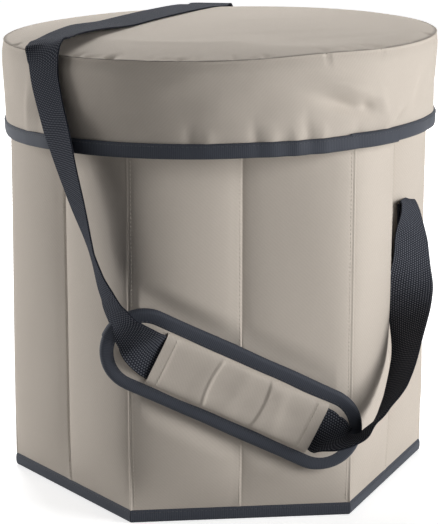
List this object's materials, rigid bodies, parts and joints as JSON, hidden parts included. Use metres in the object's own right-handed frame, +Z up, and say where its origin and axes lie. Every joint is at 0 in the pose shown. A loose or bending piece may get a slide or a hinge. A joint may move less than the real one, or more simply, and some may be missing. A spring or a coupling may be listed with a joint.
{
  "type": "folding cooler stool",
  "caption": "Padded hexagonal cool box that folds flat, with a round padded seat for a lid, a webbing carrying strap and a shoulder pad.",
  "frame": {"origin": "on the floor below the middle of the seat", "axes": "+Z up, front face towards -Y, +X to the right seen from the front"},
  "size_m": [0.3822, 0.3864, 0.3896],
  "materials": {
    "cover_fabric": "beige woven polyester over thin padding",
    "binding_tape": "charcoal ribbed binding tape",
    "webbing": "charcoal polyester webbing",
    "lining": "silver-grey wipe-clean lining film",
    "board": "plain fibreboard stiffener",
    "foam": "open-cell seat foam"
  },
  "bodies": {
    "front_wall": {"front_cover": "cover_fabric", "front_bottom_binding": "binding_tape", "front_lining": "lining", "front_left_board": "board", "front_right_board": "board", "bottom_cloth": "lining", "strap_left_run": "webbing", "strap_right_run": "webbing", "strap_back_run": "webbing"},
    "back_wall": {"back_cover": "cover_fabric", "back_bottom_binding": "binding_tape", "back_lining": "lining", "back_left_board": "board", "back_right_board": "board"},
    "right_front_outer_wall": {"right_front_outer_cover": "cover_fabric", "right_front_outer_bottom_binding": "binding_tape", "right_front_outer_lining": "lining", "right_front_outer_board": "board"},
    "right_front_inner_wall": {"right_front_inner_cover": "cover_fabric", "right_front_inner_bottom_binding": "binding_tape", "right_front_inner_lining": "lining", "right_front_inner_board": "board", "strap_right_anchor": "webbing"},
    "right_back_inner_wall": {"right_back_inner_cover": "cover_fabric", "right_back_inner_bottom_binding": "binding_tape", "right_back_inner_lining": "lining", "right_back_inner_board": "board"},
    "right_back_outer_wall": {"right_back_outer_cover": "cover_fabric", "right_back_outer_bottom_binding": "binding_tape", "right_back_outer_lining": "lining", "right_back_outer_board": "board"},
    "left_back_outer_wall": {"left_back_outer_cover": "cover_fabric", "left_back_outer_bottom_binding": "binding_tape", "left_back_outer_lining": "lining", "left_back_outer_board": "board"},
    "left_back_inner_wall": {"left_back_inner_cover": "cover_fabric", "left_back_inner_bottom_binding": "binding_tape", "left_back_inner_lining": "lining", "left_back_inner_board": "board", "strap_left_anchor": "webbing"},
    "left_front_inner_wall": {"left_front_inner_cover": "cover_fabric", "left_front_inner_bottom_binding": "binding_tape", "left_front_inner_lining": "lining", "left_front_inner_board": "board"},
    "left_front_outer_wall": {"left_front_outer_cover": "cover_fabric", "left_front_outer_bottom_binding": "binding_tape", "left_front_outer_lining": "lining", "left_front_outer_board": "board"},
    "base_leaf_front": {"base_leaf_front": "board"},
    "base_leaf_back": {"base_leaf_back": "board"},
    "lid": {"seat_lining": "lining", "seat_board": "board", "seat_foam": "foam", "seat_top_panel": "cover_fabric", "seat_skirt": "cover_fabric", "seat_binding": "binding_tape", "strap_over_seat": "webbing"},
    "shoulder_pad": {"pad_base": "cover_fabric", "pad_binding": "binding_tape", "pad_sleeve": "cover_fabric"}
  },
  "joints": [
    {"name": "left_front_corner", "type": "hinge", "parent": "front_wall", "child": "left_front_outer_wall", "pos_m": [-0.09274, -0.16064, 0], "axis": [0, 0, 1], "range_deg": [0, 59.4], "deforming": ["bottom_cloth", "seat_skirt", "seat_binding", "strap_left_run", "strap_right_run", "strap_back_run"]},
    {"name": "left_front_crease", "type": "hinge", "parent": "left_front_outer_wall", "child": "left_front_inner_wall", "pos_m": [-0.1282, -0.07402, 0], "axis": [0, 0, 1], "range_deg": [-178.2, 0]},
    {"name": "left_side_corner", "type": "hinge", "parent": "left_front_inner_wall", "child": "left_back_inner_wall", "pos_m": [-0.18549, 0, 0], "axis": [0, 0, 1], "range_deg": [0, 237.6]},
    {"name": "left_back_crease", "type": "hinge", "parent": "left_back_inner_wall", "child": "left_back_outer_wall", "pos_m": [-0.1282, 0.07402, 0], "axis": [0, 0, 1], "range_deg": [-178.2, 0]},
    {"name": "left_back_corner", "type": "hinge", "parent": "left_back_outer_wall", "child": "back_wall", "pos_m": [-0.09274, 0.16064, 0], "axis": [0, 0, 1], "range_deg": [0, 59.4]},
    {"name": "right_front_corner", "type": "hinge", "parent": "front_wall", "child": "right_front_outer_wall", "pos_m": [0.09274, -0.16064, 0], "axis": [0, 0, 1], "range_deg": [-59.4, 0]},
    {"name": "right_front_crease", "type": "hinge", "parent": "right_front_outer_wall", "child": "right_front_inner_wall", "pos_m": [0.1282, -0.07402, 0], "axis": [0, 0, 1], "range_deg": [0, 178.2]},
    {"name": "right_back_corner", "type": "hinge", "parent": "back_wall", "child": "right_back_outer_wall", "pos_m": [0.09274, 0.16064, 0], "axis": [0, 0, 1], "range_deg": [0, 59.4]},
    {"name": "right_back_crease", "type": "hinge", "parent": "right_back_outer_wall", "child": "right_back_inner_wall", "pos_m": [0.1282, 0.07402, 0], "axis": [0, 0, 1], "range_deg": [-178.2, 0]},
    {"name": "front_leaf_hinge", "type": "hinge", "parent": "front_wall", "child": "base_leaf_front", "pos_m": [0, -0.14803, 0.0057], "axis": [1, 0, 0], "range_deg": [0, 89.1]},
    {"name": "back_leaf_hinge", "type": "hinge", "parent": "back_wall", "child": "base_leaf_back", "pos_m": [0, 0.14803, 0.0057], "axis": [-1, 0, 0], "range_deg": [0, 89.1]},
    {"name": "lid_lift", "type": "slide", "parent": "front_wall", "child": "lid", "axis": [0, 0, 1], "range_m": [0, 0.11], "deforming": ["strap_left_run", "strap_back_run"]},
    {"name": "pad_slide", "type": "slide", "parent": "front_wall", "child": "shoulder_pad", "axis": [0.8988, 0, -0.4384], "range_m": [-0.015, 0.015]}
  ],
  "couplings": [
    {"joint": "left_front_crease", "follows": "left_front_corner", "ratio": -3},
    {"joint": "left_side_corner", "follows": "left_front_corner", "ratio": 4},
    {"joint": "left_back_crease", "follows": "left_front_corner", "ratio": -3},
    {"joint": "left_back_corner", "follows": "left_front_corner", "ratio": 1},
    {"joint": "right_front_corner", "follows": "left_front_corner", "ratio": -1},
    {"joint": "right_front_crease", "follows": "left_front_corner", "ratio": 3},
    {"joint": "right_back_corner", "follows": "left_front_corner", "ratio": 1},
    {"joint": "right_back_crease", "follows": "left_front_corner", "ratio": -3},
    {"joint": "front_leaf_hinge", "follows": "left_front_corner", "ratio": 1.5},
    {"joint": "back_leaf_hinge", "follows": "left_front_corner", "ratio": 1.5}
  ]
}
